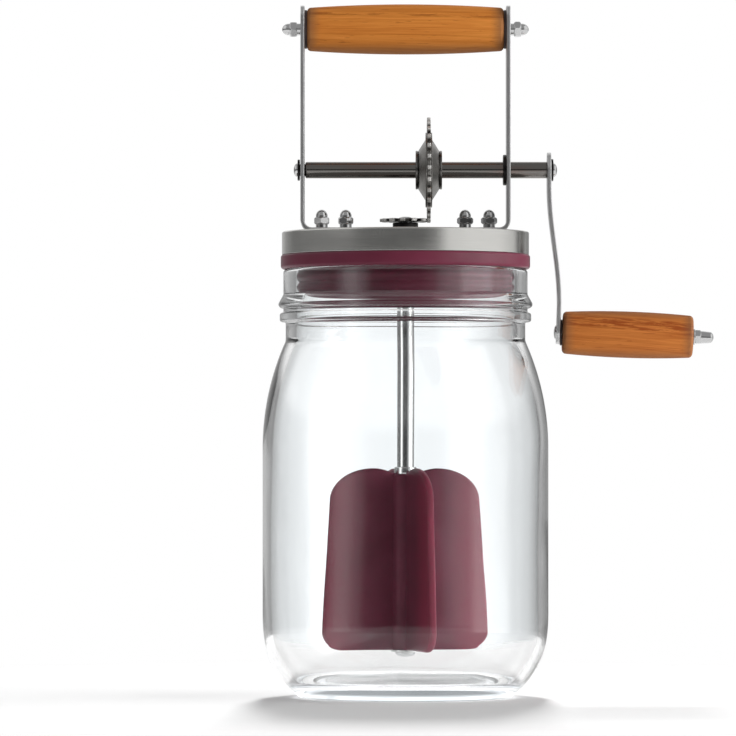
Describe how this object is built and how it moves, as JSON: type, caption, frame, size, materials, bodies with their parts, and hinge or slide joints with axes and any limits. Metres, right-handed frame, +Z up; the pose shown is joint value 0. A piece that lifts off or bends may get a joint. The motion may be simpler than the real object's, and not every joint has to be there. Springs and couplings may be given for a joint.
{
  "type": "butter churn",
  "caption": "Tabletop butter churn: round glass jar with a push-in lid that carries a hand crank, a gear train, a wooden carrying handle and a vaned dasher that spins in the jar.",
  "frame": {"origin": "jar axis on the plane of the ring that the jar stands on", "axes": "+Z up along the jar axis, +X along the crank axle towards the crank, +Y away from the viewer"},
  "size_m": [0.1746, 0.1106, 0.2684],
  "materials": {
    "clear_glass": "clear polished",
    "lid_steel": "satin, brushed round the rim",
    "plum_silicone": "smooth satin",
    "strap_steel": "satin, brushed along the strip",
    "bright_steel": "polished",
    "shaft_steel": "ground bright",
    "dark_steel": "dark oiled",
    "turned_wood": "oiled satin",
    "dark_washer": "matte"
  },
  "bodies": {
    "jar": {"glass_jar": "clear_glass"},
    "lid": {"lid_cap": "lid_steel", "lid_seal": "plum_silicone", "left_bracket": "strap_steel", "right_bracket": "strap_steel", "bracket_screws": "bright_steel", "screw_washers": "dark_washer", "bracket_nuts": "bright_steel", "handle_grip": "turned_wood", "handle_tie_rod": "bright_steel", "handle_washers": "dark_washer", "handle_nuts": "bright_steel", "left_axle_bush": "dark_steel", "right_axle_bush": "dark_steel", "shaft_bush": "dark_steel", "shaft_bush_nut": "bright_steel"},
    "crank": {"crank_axle": "dark_steel", "axle_end_washer": "dark_steel", "axle_end_screw": "bright_steel", "drive_gear": "dark_steel", "gear_cheek_left": "dark_steel", "gear_cheek_right": "dark_steel", "gear_flanges": "dark_steel", "gear_hub_sleeve": "dark_steel", "gear_pin": "bright_steel", "crank_arm": "strap_steel", "arm_washer": "dark_steel", "arm_screw": "bright_steel", "crank_spindle": "bright_steel", "grip_thrust_washer": "dark_washer", "grip_end_washer": "strap_steel", "crank_nut": "bright_steel"},
    "crank_handle": {"crank_grip": "turned_wood"},
    "dasher": {"dasher_shaft": "shaft_steel", "pinion": "dark_steel", "pinion_screw": "bright_steel", "shaft_collar": "shaft_steel", "paddle": "plum_silicone", "paddle_washer": "bright_steel", "paddle_screw": "bright_steel"}
  },
  "joints": [
    {"name": "lid_lift", "type": "slide", "parent": "jar", "child": "lid", "axis": [0, 0, 1], "range_m": [0, 0.165]},
    {"name": "crank_turn", "type": "hinge", "parent": "lid", "child": "crank", "pos_m": [0, 0, 0.2041], "axis": [1, 0, 0], "continuous": true},
    {"name": "grip_spin", "type": "hinge", "parent": "crank", "child": "crank_handle", "pos_m": [0.05844, 0, 0.1412], "axis": [0.9995, 0, -0.0332], "continuous": true},
    {"name": "dasher_spin", "type": "hinge", "parent": "lid", "child": "dasher", "pos_m": [0, 0, 0], "axis": [0, 0, 1], "continuous": true}
  ],
  "couplings": [
    {"joint": "dasher_spin", "follows": "crank_turn", "ratio": 2.1538}
  ]
}
